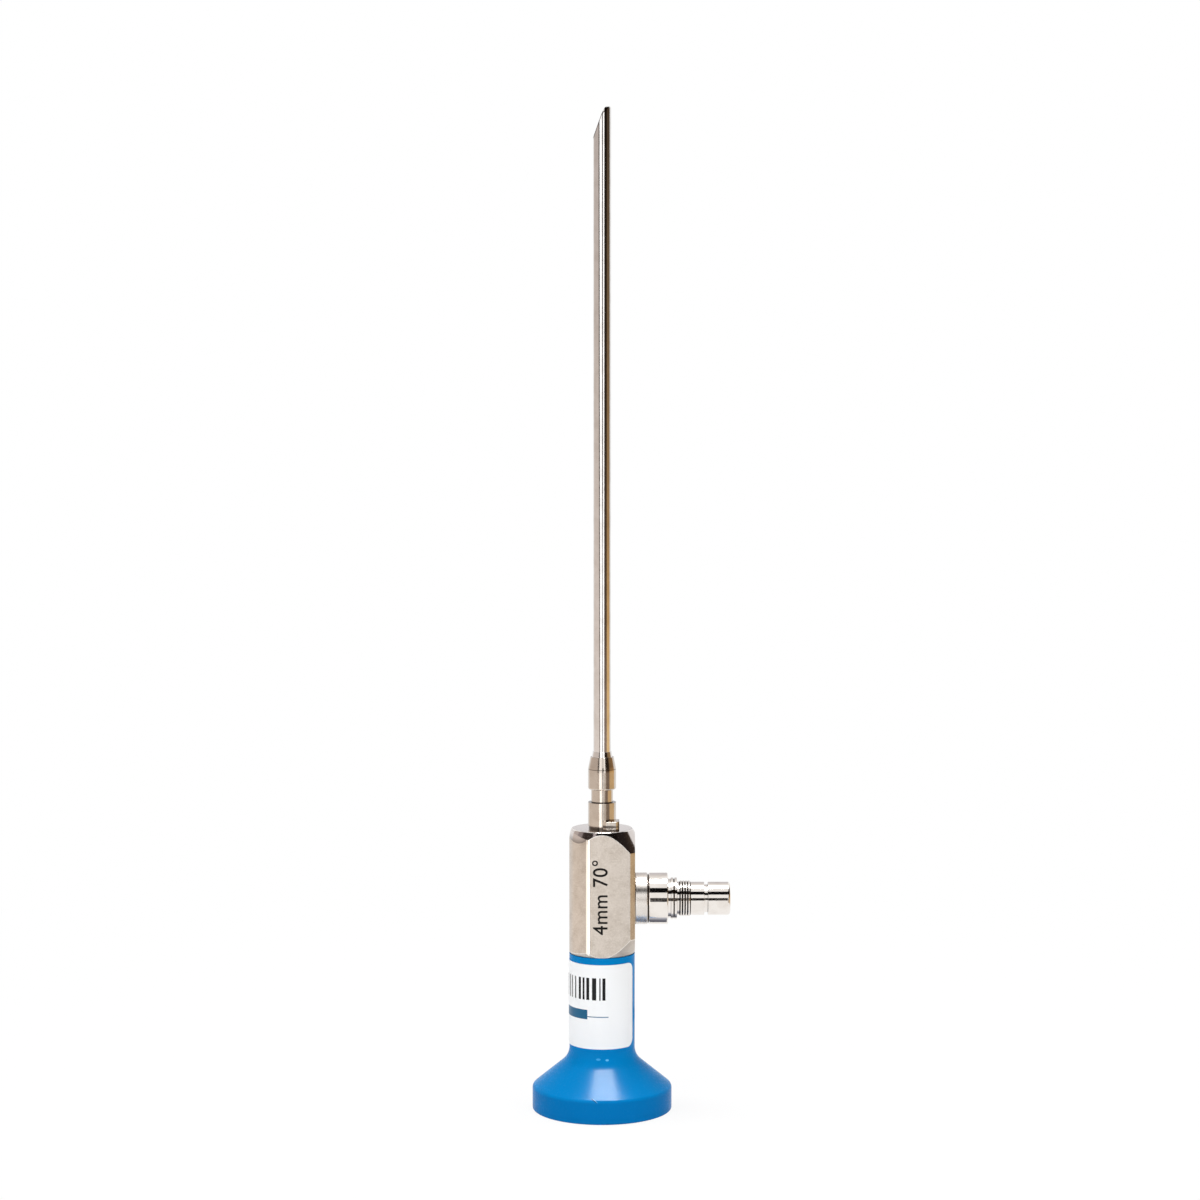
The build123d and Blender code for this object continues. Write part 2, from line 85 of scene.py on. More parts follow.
def seenRays(tree):
    # 1 for what the camera, a reflection or glass sees, 0 for light that falls on the object
    rays = {name: addNode(tree, "LightPath", output=name)
            for name in ("Is Camera Ray", "Is Glossy Ray", "Is Transmission Ray")}
    seen = addNode(tree, "Math", {0: rays["Is Camera Ray"], 1: rays["Is Glossy Ray"]},
                   operation="MAXIMUM")
    return addNode(tree, "Math", {0: seen, 1: rays["Is Transmission Ray"]}, operation="MAXIMUM")


# Camera, matched to the photograph's view

camera = {
    "lens": 86.2, "sensor": 36.0,      # mm
    "place": (-0.475 * mm, -0.650, 0.1717),
    "pitch": 4.79,                     # degrees below the horizon
    "nearClip": 0.01,
}

cameraData = bpy.data.cameras.new("camera")
cameraData.lens = camera["lens"]
cameraData.sensor_width = camera["sensor"]
cameraData.clip_start = camera["nearClip"]
cameraData.dof.use_dof = False
cameraObject = bpy.data.objects.new("camera", cameraData)
cameraObject.location = camera["place"]
cameraObject.rotation_euler = (radians(90 - camera["pitch"]), 0, 0)
bpy.context.scene.collection.objects.link(cameraObject)
bpy.context.scene.camera = cameraObject
bpy.context.scene.view_settings.view_transform = "Standard"
print("camera set")


# Studio: white surroundings, soft lamps, and cards that only reflections see

studio = {
    "ambient": 0.42,                   # white light from all round, for diffuse surfaces
    "floorColour": "F2F2F2",
    "floorReach": 4.0,                 # metres each way
    "floorLift": 0.90,                 # share of plain white in the floor as seen, beside its shadow
    "shadowReach": (0.05, 0.30),       # metres from the axis over which the shadow fades out
}

world = bpy.data.worlds.new("whiteStudio")
bpy.context.scene.world = world
world.use_nodes = True
world.node_tree.nodes.clear()
tree = world.node_tree
ambient = addNode(tree, "Background", {"Color": "FFFFFF", "Strength": studio["ambient"]})
backdrop = addNode(tree, "Background", {"Color": "FFFFFF", "Strength": 1.0})
whole = addNode(tree, "MixShader", {0: seenRays(tree), 1: ambient, 2: backdrop})
addNode(tree, "OutputWorld", {"Surface": whole})

floorMaterial, tree = newMaterial("whitePaperSweep")
place = addNode(tree, "TexCoord", output="Object")
radius = addNode(tree, "VectorMath", {0: place}, output="Value", operation="LENGTH")
lift = addNode(tree, "MapRange", {
    "Value": radius, "From Min": studio["shadowReach"][0], "From Max": studio["shadowReach"][1],
    "To Min": studio["floorLift"], "To Max": 1.0,
})
paper = addNode(tree, "BsdfDiffuse", {"Color": studio["floorColour"]})
glow = addNode(tree, "Emission", {"Color": "FFFFFF", "Strength": 1.0})
seen = addNode(tree, "Math", {0: seenRays(tree), 1: lift}, operation="MULTIPLY")
addNode(tree, "OutputMaterial", {"Surface": addNode(tree, "MixShader", {0: seen, 1: paper, 2: glow})})

floorMesh = bpy.data.meshes.new("floor")
reach = studio["floorReach"]
floorMesh.from_pydata([(-reach, -reach, 0), (reach, -reach, 0), (reach, reach, 0), (-reach, reach, 0)],
                      [], [(0, 1, 2, 3)])
floorObject = bpy.data.objects.new("floor", floorMesh)
floorObject.data.materials.append(floorMaterial)
bpy.context.scene.collection.objects.link(floorObject)

# softboxes: place, what they face, width and height in metres, power in watts. Only the overhead
# one shows in metal; the glint is its share in the polymer of the cup, which shines far less
softboxes = {
    "overhead": {"place": (0.045, 0.06, 1.15), "facing": (0.045, 0.06, 0.0), "size": (0.50, 0.40),
                 "power": 9.0},
    "frontLeft": {"place": (-0.85, -1.05, 0.75), "facing": (0, 0, 0.09), "size": (0.7, 0.7),
                  "power": 5.0},
    "frontRight": {"place": (0.95, -0.95, 0.65), "facing": (0, 0, 0.09), "size": (0.6, 0.7),
                   "power": 3.0},
    "glint": {"place": (0.045, 0.06, 1.16), "facing": (0.045, 0.06, 0.0), "size": (0.50, 0.40),
              "power": 118.0},
}
for name, box in softboxes.items():
    lampData = bpy.data.lights.new(name, "AREA")
    lampData.shape = "RECTANGLE"
    lampData.size, lampData.size_y = box["size"]
    lampData.energy = box["power"]
    lampObject = bpy.data.objects.new(name, lampData)
    lampObject.location = box["place"]
    direction = Vector(box["facing"]) - Vector(box["place"])
    lampObject.rotation_euler = direction.to_track_quat("-Z", "Y").to_euler()
    lampObject.visible_camera = False
    lampObject.visible_glossy = name in ("overhead", "glint")
    lampObject.visible_diffuse = name != "glint"
    bpy.context.scene.collection.objects.link(lampObject)
    if name == "glint":
        glintOn = bpy.data.collections.new("glintOn")
        glintOn.objects.link(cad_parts["eyepiece_cup"])
        lampObject.light_linking.receiver_collection = glintOn

# upright curved cards round the object: azimuth in degrees from the camera side towards the light
# post, distance in metres, and a colour at each height in metres. Only reflections see them. The
# near ones are for the ferrule and the body, which look down at the floor
cards = {
    "beigeWall": {"azimuth": (-128, -27), "distance": 0.50, "strength": 1.0,
                  "shades": [(0.0, "F4EAE2"), (0.06, "EADED6"), (0.16, "D8CCC3"), (0.26, "D0C5BF"),
                             (0.75, "CEC8CC")]},
    "leftFlagEdge": {"azimuth": (-104, -84), "distance": 0.49, "strength": 1.0,
                     "shades": [(0.29, "A49A98"), (0.80, "8E8484")]},
    "leftFlag": {"azimuth": (-84, -40), "distance": 0.49, "strength": 1.0,
                 "shades": [(0.29, "4A403C"), (0.80, "241E1C")]},
    "wallEdge": {"azimuth": (-37, -24.5), "distance": 0.49, "strength": 1.0,
                 "shades": [(0.0, "A0968E"), (0.12, "665C56"), (0.28, "2E2826")]},
    "leftBox": {"azimuth": (-24.5, -2), "distance": 0.50, "strength": 1.5,
                "shades": [(0.0, "FFFFFF"), (0.36, "FFFFFF")]},
    "cameraBody": {"azimuth": (2.5, 13.5), "distance": 2.50, "strength": 1.0,
                   "shades": [(0.0, "8C8682"), (0.20, "3A3636"), (0.55, "121012")]},
    "rightBox": {"azimuth": (14, 28), "distance": 0.50, "strength": 1.5,
                 "shades": [(0.0, "FFFFFF"), (0.36, "FFFFFF")]},
    "lowRig": {"azimuth": (1.6, 6.4), "distance": 0.48, "strength": 1.0,
               "shades": [(0.0, "100A08"), (0.146, "100A08")]},
    "darkDoor": {"azimuth": (28, 64), "distance": 0.50, "strength": 1.0,
                 "shades": [(0.0, "A08C80"), (0.035, "8E7A6A"), (0.06, "5E4C3C"), (0.15, "382C22"),
                            (0.28, "1A1410"), (0.85, "0A0809")]},
    "tanDoor": {"azimuth": (64, 117), "distance": 0.50, "strength": 1.0,
                "shades": [(0.0, "F4D29E"), (0.035, "ECC48A"), (0.065, "D6AC74"), (0.10, "B08C60"),
                           (0.18, "826A4E"), (0.28, "463A30"), (0.40, "2A2422"), (0.85, "1A1618")]},
    "darkCeiling": {"azimuth": (-30, 30), "distance": 0.50, "strength": 1.0,
                    "shades": [(0.40, "0A0A0C"), (0.82, "0A0A0C")]},
    "backWall": {"azimuth": (160, 190), "distance": 0.30, "strength": 1.0,
                 "shades": [(0.116, "CCC9CE"), (0.30, "D6D3D4"), (0.42, "E6E2E0"), (0.56, "FAF8F6")]},
    "nearWall": {"azimuth": (-128, -25), "distance": 0.15, "strength": 1.4,
                 "shades": [(0.0, "F4EAE2"), (0.034, "F0E6DC"), (0.042, "CEC5BD"), (0.058, "CAC1B9")]},
    "nearBox": {"azimuth": (-23, -3), "distance": 0.15, "strength": 2.2,
                "shades": [(0.0, "FFFFFF"), (0.058, "FFFFFF")]},
    "nearGrey": {"azimuth": (15, 33), "distance": 0.15, "strength": 1.0,
                 "shades": [(0.0, "E4DCD4"), (0.058, "DCD4CC")]},
    "nearBrown": {"azimuth": (33, 63), "distance": 0.15, "strength": 1.0,
                  "shades": [(0.0, "A8988A"), (0.058, "8E7E70")]},
    "nearGold": {"azimuth": (63, 116), "distance": 0.15, "strength": 1.0,
                 "shades": [(0.0, "E4D2BC"), (0.03, "E4CCA8"), (0.058, "EAC894")]},
}
cardStrips = 24                        # flat strips in the curve of each card
aboveFloor = 0.001                     # metres


def addCard(name, points, faces, axis, shades, strength=1.0):
    # shades are places along the axis in metres, and hex colours
    cardMesh = bpy.data.meshes.new(name)
    cardMesh.from_pydata(points, [], faces)
    cardObject = bpy.data.objects.new(name, cardMesh)
    cardMaterial, tree = newMaterial(name + "Card")
    low, high = shades[0][0], shades[-1][0]
    place = addNode(tree, "TexCoord", output="Object")
    along = addNode(tree, "SeparateXYZ", {"Vector": place}, output=axis)
    level = addNode(tree, "MapRange", {"Value": along, "From Min": low, "From Max": high})
    shade = addNode(tree, "ValToRGB", {"Fac": level},
                    stops=[((spot - low) / (high - low), colour) for spot, colour in shades])
    light = addNode(tree, "Emission", {"Color": shade, "Strength": strength})
    addNode(tree, "OutputMaterial", {"Surface": light})
    cardMesh.materials.append(cardMaterial)
    bpy.context.scene.collection.objects.link(cardObject)
    cardObject.visible_camera = False
    cardObject.visible_diffuse = False
    cardObject.visible_shadow = False
    cardObject.visible_transmission = False


for name, card in cards.items():
    low, high = card["shades"][0][0], card["shades"][-1][0]
    start, end = card["azimuth"]
    points = []
    for strip in range(cardStrips + 1):
        turn = radians(start + (end - start) * strip / cardStrips)
        placeX, placeY = card["distance"] * sin(turn), -card["distance"] * cos(turn)
        points += [(placeX, placeY, low + aboveFloor), (placeX, placeY, high + aboveFloor)]
    faces = [(corner, corner + 2, corner + 3, corner + 1) for corner in range(0, 2 * cardStrips, 2)]
    addCard(name, points, faces, "Z", card["shades"], card["strength"])

# a card lying under the light post, for the bluish band along the foot of its rings. Its shades run
# from front to back
underPost = {
    "low": (0.0085, -0.0070), "high": (0.0185, 0.0128), "height": 0.020,
    "shades": [(-0.0070, "D6D8E2"), (-0.00205, "A4A8B4"), (0.0029, "70727E"), (0.0128, "62646E")],
}
(lowX, lowY), (highX, highY) = underPost["low"], underPost["high"]
corners = [(lowX, lowY), (highX, lowY), (highX, highY), (lowX, highY)]
addCard("underPost", [(*corner, underPost["height"]) for corner in corners], [(0, 1, 2, 3)], "Y",
        underPost["shades"])
print("studio set")


# Eyepiece cup: turned blue polymer

cup = {
    "colour": "0084CA", "paintedRimShade": "0075BA", "shade": "0070B2",
    "rimTop": (4.9, 5.6),              # mm, where the darker blue painted on the rim as shade gives way to the flare's blue
    "ringPitch": 0.28, "ringDepth": 0.004, "ringRun": 50,      # turning marks, in mm
    "grain": 0.5, "clouds": 9, "cloudShare": 0.25,             # mm, mm, share of the shade in the clouds
    "edge": 0.15,                      # mm, rounding of worn edges
    "roughness": 0.24,
    # two painted highlights on the flare and a scratch at the rim: place and half sizes in mm, turn in
    # degrees, colour
    "marks": [((-0.85, -7.69, 13.0), (0.55, 0.40, 0.26), (0, 0, 0), "3FA6E2"),
              ((1.16, -7.70, 12.85), (0.40, 0.35, 0.24), (0, 0, 0), "66C0F0"),
              ((-1.87, -15.6, 5.55), (0.10, 0.95, 0.95), (0, -26.9, 37.7), "0A4674"),
              ((-1.55, -15.6, 5.45), (0.07, 0.70, 0.70), (0, -26.9, 37.7), "8CCCF0")],
}

# dense, slightly waxy plastic: satin, with fine turning rings
cupMaterial, tree = newMaterial("turnedBlueAcetal")
place = addNode(tree, "TexCoord", output="Object")
height = addNode(tree, "SeparateXYZ", {"Vector": place}, output="Z")
ringRun = 1 / (cup["ringRun"] * mm)
ringTurns = 1 / (cup["ringPitch"] * mm)
along = addNode(tree, "Mapping", {"Vector": place, "Scale": (ringRun, ringRun, ringTurns)})
rings = addNode(tree, "TexNoise", {"Vector": along, "Scale": 1.0, "Detail": 2.0})
grain = addNode(tree, "TexNoise", {"Vector": place, "Scale": 1 / (cup["grain"] * mm), "Detail": 4.0})
clouds = addNode(tree, "TexNoise", {"Vector": place, "Scale": 1 / (cup["clouds"] * mm), "Detail": 2.0})
# painted shade: the rim is given a darker blue than the flare above it
aboveRim = addNode(tree, "MapRange", {"Value": height, "From Min": cup["rimTop"][0] * mm,
                                      "From Max": cup["rimTop"][1] * mm})
colour = addNode(tree, "Mix", {0: aboveRim, 6: cup["paintedRimShade"], 7: cup["colour"]}, output=2,
                 data_type="RGBA")
cloudShare = addNode(tree, "Math", {0: clouds, 1: cup["cloudShare"]}, operation="MULTIPLY")
colour = addNode(tree, "Mix", {0: cloudShare, 6: colour, 7: cup["shade"]}, output=2, data_type="RGBA")
# lays on the painted highlights and the scratch
for spot, halfSize, turn, markColour in cup["marks"]:
    local = addNode(tree, "Mapping", {
        "Vector": place, "Location": Vector(spot) * mm, "Scale": Vector(halfSize) * mm,
        "Rotation": [radians(angle) for angle in turn],
    }, vector_type="TEXTURE")
    reachOut = addNode(tree, "VectorMath", {0: local}, output="Value", operation="LENGTH")
    mark = addNode(tree, "MapRange", {"Value": reachOut, "From Min": 1.1, "From Max": 0.8})
    colour = addNode(tree, "Mix", {0: mark, 6: colour, 7: markColour}, output=2, data_type="RGBA")
softened = addNode(tree, "Bevel", {"Radius": cup["edge"] * mm}, samples=4)
shader = addNode(tree, "BsdfPrincipled", {
    "Base Color": colour,
    "Roughness": addNode(tree, "MapRange", {
        "Value": grain, "From Min": 0.3, "From Max": 0.7,
        "To Min": cup["roughness"] - 0.05, "To Max": cup["roughness"] + 0.07,
    }),
    "IOR": 1.48, "Specular IOR Level": 0.032,
    "Normal": addNode(tree, "Bump", {"Height": rings, "Distance": cup["ringDepth"] * mm,
                                     "Normal": softened}),
})
addNode(tree, "OutputMaterial", {"Surface": shader})
giveMaterial(cupMaterial, "eyepiece_cup")
print("cup set")


# Body: stainless steel, milled flats with a satin bead finish and polished turned surfaces

body = {
    "top": 65.0, "topRadius": 6.95, "slope": 0.57735,    # 30 degree cone, mm of radius per mm of height
    "coneFoot": 58.0, "topDepth": 0.3,   # mm: height that the cone stays above, depth of the top
    "cornerRadius": 9.58,                # mm, turned corners beside the light post
    "roundSide": -3.5,                   # mm, where the flats give way to the round side
    "crownEnd": (62.3, -5.6, 0.22),      # softened end of the round side: height, middle, rise each way
    "crownFootShade": (1.3, 0.7, "5E544E"),  # painted shade, darker towards its foot: height it fades over, share, colour
    "blend": (-3.25, 0.37), "blendDepth": 7.0,           # mm: burnished edge's middle, half width, depth; it carries a painted highlight
    # edge is the near-white of a painted highlight along the worn edges
    "satin": "C6BCB2", "stain": "A89C8F", "sparkle": "E2DAD0", "polished": "D6CECA", "edge": "FBF7F0",
    "satinRoughness": 0.34, "polishedRoughness": 0.09, "cornerRoughness": 0.16,
    "grain": 0.2, "stains": 3, "edgeWidth": 0.2, "relief": 0.008,        # mm
    "scratchWidth": 0.14, "scratchRun": 0.06,            # mm across a scratch; share of that along it
}

# blasted with fine beads: a fine grain, soft reflections and faint handling stains
bodyMaterial, tree = newMaterial("blastedStainlessSteel")
place = addNode(tree, "TexCoord", output="Object")
x, y, z = addNode(tree, "SeparateXYZ", {"Vector": place}, output=None)
flatPlace = addNode(tree, "VectorMath", {0: place, 1: (1, 1, 0)}, operation="MULTIPLY")
radius = addNode(tree, "VectorMath", {0: flatPlace}, output="Value", operation="LENGTH")
grain = addNode(tree, "TexNoise", {"Vector": place, "Scale": 1 / (body["grain"] * mm), "Detail": 3.0})
stains = addNode(tree, "TexNoise", {"Vector": place, "Scale": 1 / (body["stains"] * mm), "Detail": 4.0,
                                    "Roughness": 0.65})
across = addNode(tree, "Mapping", {"Vector": place, "Scale": (body["scratchRun"], body["scratchRun"], 1)})
scratches = addNode(tree, "TexNoise", {"Vector": across, "Scale": 1 / (body["scratchWidth"] * mm),
                                       "Detail": 2.0})

# turned parts: the cone and top, the softened end of the round side, and the corners
coneMargin = 0.05                      # mm inside the cone's surface, so that all of the cone counts
below = addNode(tree, "Math", {0: body["top"] * mm, 1: z}, operation="SUBTRACT")
coneRadius = addNode(tree, "Math", {0: below, 1: body["slope"], 2: (body["topRadius"] - coneMargin) * mm},
                     operation="MULTIPLY_ADD")
outsideCone = addNode(tree, "Math", {0: radius, 1: coneRadius}, operation="GREATER_THAN")
nearTop = addNode(tree, "Math", {0: z, 1: body["coneFoot"] * mm}, operation="GREATER_THAN")
turned = addNode(tree, "Math", {0: outsideCone, 1: nearTop}, operation="MULTIPLY")
onTop = addNode(tree, "Math", {0: z, 1: (body["top"] - body["topDepth"]) * mm}, operation="GREATER_THAN")
turned = addNode(tree, "Math", {0: turned, 1: onTop}, operation="MAXIMUM")
crownHeight, crownMiddle, crownRise = body["crownEnd"]
fromMiddle = addNode(tree, "Math", {0: x, 1: crownMiddle * mm}, operation="SUBTRACT")
fromMiddle = addNode(tree, "Math", {0: fromMiddle, 1: 2}, operation="POWER")
crownFoot = addNode(tree, "Math", {0: fromMiddle, 1: crownRise / mm, 2: crownHeight * mm},
                    operation="MULTIPLY_ADD")
onCrown = addNode(tree, "Math", {0: z, 1: crownFoot}, operation="GREATER_THAN")
roundSide = addNode(tree, "Math", {0: x, 1: body["roundSide"] * mm}, operation="LESS_THAN")
onCrown = addNode(tree, "Math", {0: onCrown, 1: roundSide}, operation="MULTIPLY")
# painted shade over the foot of the softened end, darker towards the foot
fadeHeight, footShadeShare, footShadeColour = body["crownFootShade"]
aboveFoot = addNode(tree, "Math", {0: z, 1: crownFoot}, operation="SUBTRACT")
paintedShade = addNode(tree, "MapRange", {"Value": aboveFoot, "From Max": fadeHeight * mm,
                                   "To Min": footShadeShare, "To Max": 0.0})
paintedShade = addNode(tree, "Math", {0: paintedShade, 1: onCrown}, operation="MULTIPLY")
turned = addNode(tree, "Math", {0: turned, 1: onCrown}, operation="MAXIMUM")
corner = addNode(tree, "Math", {0: radius, 1: body["cornerRadius"] * mm}, operation="GREATER_THAN")
postSide = addNode(tree, "Math", {0: x, 1: 0.0}, operation="GREATER_THAN")
corner = addNode(tree, "Math", {0: corner, 1: postSide}, operation="MULTIPLY")

# worn parts, smoother and with a painted highlight: broken edges, where the softened normal leaves the
# face's own, and the burnished edge
softened = addNode(tree, "Bevel", {"Radius": body["edgeWidth"] * mm}, samples=6)
faceNormal = addNode(tree, "NewGeometry", output="True Normal")
agreement = addNode(tree, "VectorMath", {0: faceNormal, 1: softened}, output="Value",
                    operation="DOT_PRODUCT")
edgeWearAndHighlight = addNode(tree, "MapRange", {"Value": agreement, "From Min": 0.9995, "From Max": 0.985})
alongBlend = addNode(tree, "Math", {0: x, 1: body["blend"][0] * mm, 2: body["blend"][1] * mm},
                     operation="COMPARE")
depth = addNode(tree, "Math", {0: y}, operation="ABSOLUTE")
nearFlat = addNode(tree, "Math", {0: depth, 1: body["blendDepth"] * mm}, operation="GREATER_THAN")
alongBlend = addNode(tree, "Math", {0: alongBlend, 1: nearFlat}, operation="MULTIPLY")
worn = addNode(tree, "Math", {0: alongBlend, 1: edgeWearAndHighlight}, operation="MAXIMUM")

stained = addNode(tree, "MapRange", {"Value": stains, "From Min": 0.42, "From Max": 0.74, "To Max": 0.7})
sparkling = addNode(tree, "MapRange", {"Value": grain, "From Min": 0.4, "From Max": 0.75, "To Max": 0.5})
scratched = addNode(tree, "MapRange", {"Value": scratches, "From Min": 0.60, "From Max": 0.78,
                                       "To Max": 0.7})
# below, the painted shade at the crown's foot and the painted highlight on the worn edges go in with the
# stains, grain, scratches and polish
colour = body["satin"]
for share, shade in ((stained, body["stain"]), (sparkling, body["sparkle"]), (scratched, body["sparkle"]),
                     (turned, body["polished"]), (paintedShade, footShadeColour), (worn, body["edge"])):
    colour = addNode(tree, "Mix", {0: share, 6: colour, 7: shade}, output=2, data_type="RGBA")
smooth = addNode(tree, "Math", {0: turned, 1: worn}, operation="MAXIMUM")
roughness = addNode(tree, "MapRange", {"Value": corner, "To Min": body["satinRoughness"],
                                       "To Max": body["cornerRoughness"]})
roughness = addNode(tree, "MapRange", {"Value": smooth, "To Min": roughness,
                                       "To Max": body["polishedRoughness"]})
relief = addNode(tree, "Math", {0: grain, 1: scratches}, operation="ADD")
reliefShare = addNode(tree, "MapRange", {"Value": smooth, "To Min": 1.0, "To Max": 0.12})
relief = addNode(tree, "Math", {0: relief, 1: reliefShare}, operation="MULTIPLY")
shader = addNode(tree, "BsdfPrincipled", {
    "Base Color": colour,
    "Metallic": 1.0,
    "Roughness": addNode(tree, "Math", {0: grain, 1: 0.06, 2: roughness}, operation="MULTIPLY_ADD"),
    "Normal": addNode(tree, "Bump", {"Height": relief, "Distance": body["relief"] * mm, "Strength": 0.6,
                                     "Normal": softened}),
})
addNode(tree, "OutputMaterial", {"Surface": shader})
giveMaterial(bodyMaterial, "body_housing")


# Engraving: shaft diameter and direction of view, in black oxide on the front flat

engraving = {
    "text": "4mm 70°", "height": 3.5,          # height of a figure in mm
    "start": (1.25, -7.3, 41.62),              # foot of the first figure; the line runs up the flat
    "length": 17.05, "relief": 0.012, "gap": 0.002,        # mm; the gap is between strokes and flat
    "weight": 0.030,                           # mm by which the strokes are made bolder, each way
    "copyStep": 0.0008, "weld": 0.0001,        # mm: how much further out each copy is, points made one
    "ink": "0C0A0A", "worn": "221E1C", "grain": 0.15, "grainDepth": 0.004,     # mm
}

textCurve = bpy.data.curves.new("engravedSize", "FONT")
textCurve.body = engraving["text"]
textCurve.size = 1.0
textCurve.space_character = 1.05
textObject = bpy.data.objects.new("engravedSize", textCurve)
bpy.context.scene.collection.objects.link(textObject)
bpy.context.view_layer.update()
evaluated = textObject.evaluated_get(bpy.context.evaluated_depsgraph_get())
flatMesh = bpy.data.meshes.new_from_object(evaluated)
bpy.data.objects.remove(textObject)
lows = [min(vertex.co[i] for vertex in flatMesh.vertices) for i in (0, 1)]
highs = [max(vertex.co[i] for vertex in flatMesh.vertices) for i in (0, 1)]
shape = bmesh.new()
shape.from_mesh(flatMesh)
bpy.data.meshes.remove(flatMesh)
alongScale = engraving["length"] / (highs[0] - lows[0])
acrossScale = engraving["height"] / (highs[1] - lows[1])
startX, startY, startZ = engraving["start"]
for vertex in shape.verts:
    along, across = (vertex.co.x - lows[0]) * alongScale, (vertex.co.y - lows[1]) * acrossScale
    vertex.co = Vector((startX - across, startY - engraving["relief"], startZ + along)) * mm
bmesh.ops.remove_doubles(shape, verts=shape.verts, dist=engraving["weld"] * mm)
thinFaces = list(shape.faces)
bold, copyStep = engraving["weight"] * mm, engraving["copyStep"] * mm
for number, (right, up) in enumerate([(1, 1), (1, -1), (-1, 1)], 1):       # shifted copies
    copied = bmesh.ops.duplicate(shape, geom=thinFaces)
    moved = [part for part in copied["geom"] if isinstance(part, bmesh.types.BMVert)]
    bmesh.ops.translate(shape, verts=moved, vec=(right * bold, -number * copyStep, up * bold))
thinVerts = list({vertex for face in thinFaces for vertex in face.verts})
bmesh.ops.translate(shape, verts=thinVerts, vec=(-bold, 0, -bold))
bmesh.ops.recalc_face_normals(shape, faces=shape.faces)
raised = bmesh.ops.extrude_face_region(shape, geom=list(shape.faces))
for vertex in [part for part in raised["geom"] if isinstance(part, bmesh.types.BMVert)]:
    vertex.co.y = (startY - engraving["gap"]) * mm
bmesh.ops.recalc_face_normals(shape, faces=shape.faces)
engravingMesh = bpy.data.meshes.new("engraved_size")
shape.to_mesh(engravingMesh)
shape.free()
engravingObject = bpy.data.objects.new("engraved_size", engravingMesh)
bpy.context.scene.collection.objects.link(engravingObject)

# burnt into the steel by a laser: matt black, a little uneven where the passes overlapped
inkMaterial, tree = newMaterial("blackLaserOxide")
place = addNode(tree, "TexCoord", output="Object")
grain = addNode(tree, "TexNoise", {"Vector": place, "Scale": 1 / (engraving["grain"] * mm),
                                   "Detail": 3.0})
uneven = addNode(tree, "MapRange", {"Value": grain, "From Min": 0.4, "From Max": 0.75})
colour = addNode(tree, "Mix", {0: uneven, 6: engraving["ink"], 7: engraving["worn"]}, output=2,
                 data_type="RGBA")
shader = addNode(tree, "BsdfPrincipled", {
    "Base Color": colour, "Roughness": 0.6, "Specular IOR Level": 0.15,
    "Normal": addNode(tree, "Bump", {"Height": grain, "Distance": engraving["grainDepth"] * mm,
                                     "Strength": 0.5}),
})
addNode(tree, "OutputMaterial", {"Surface": shader})
engravingMesh.materials.append(inkMaterial)
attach(engravingObject, "root")
print("body set")


# Ferrule, lug, shaft and light post: stainless steel, each machined its own way

ferrule = {
    "name": "turnedStainlessSteel",     # fine turning rings round the axis, smears in the gloss
    "colour": "CEC4BA", "smear": "B2A698", "roughness": 0.11,
    "edge": 0.1, "streak": 0.12, "streakDepth": 0.002,     # mm: worn edge, width and depth of the marks
    "stretch": (0.05, 0.05, 1),         # how finely the marks repeat along X, Y and Z
    "paintedShadeColour": "3A322C",
    # painted shade at the collar's foot and in the steps above it: middle and half size in mm, lean about
    # Y in degrees
    "paintedShadeAt": [((0, 0, 65.1), (20, 20, 0.5), 0), ((0, 0, 71.1), (20, 20, 0.14), 0),
                ((0, 0, 78.6), (20, 20, 0.07), 0)],
}
lug = dict(
    ferrule,
    name="milledStainlessSteel",        # short straight cutter marks
    roughness=0.16, stretch=(1, 0.05, 0.05),
    # painted shade along the lug's foot, and a painted dark reflection down its right chamfer
    paintedShadeAt=[((2, 0, 65.12), (4, 20, 0.18), 0), ((1.6, 0, 65.85), (2.3, 20, 0.36), 0),
             ((3.85, 0, 66), (0.4, 20, 1.3), 0)],
)
tube = {
    "name": "drawnStainlessTube",       # near mirror, with hair-fine lines along its length
    "colour": "E4E1DF", "smear": "C6C0BA", "roughness": 0.06, "edge": 0.05,
    "streak": 0.1, "streakDepth": 0.0012, "stretch": (1, 1, 0.02),
    "paintedShadeColour": "4A423C",
    # ground edge of the tip, with a painted dark reflection along the bevel and the slope above it
    "paintedShadeAt": [((-2.0, 0, 221.2), (20, 20, 0.17), -70), ((-0.144, 0, 226.3), (20, 20, 0.17), -43.5)],
}
post = {
    "name": "polishedStainlessSteel",   # bright, crisp reflections, with painted shade in its grooves
    "colour": "F0EAE4", "smear": "D8CEC4", "roughness": 0.05, "edge": 0.08,
    "streak": 0.08, "streakDepth": 0.0005, "stretch": (1, 0.05, 0.05),
    "paintedShadeColour": "241C18", "paintedShadeAt": [],
}
innerRing = dict(
    post,
    name="satinStainlessSteel",         # lapped dull, so that its bands are soft
    roughness=0.24, colour="E4DED8",
)
smearSize = 2.5                         # mm
postAxis = 48.7                         # mm, height of the light post's axis
# grooves of the light post in mm, where shade is painted: from, to, and the radius below which it lies
postGrooves = [(10.38, 10.64, 5.80), (15.66, 15.84, 4.65), (15.9, 16.9, 4.70), (16.95, 17.13, 4.60),
               (17.6, 17.85, 4.0), (17.8, 20.05, 4.0), (20.02, 20.24, 3.98), (23.22, 23.34, 3.62),
               (24.1, 24.24, 3.62)]

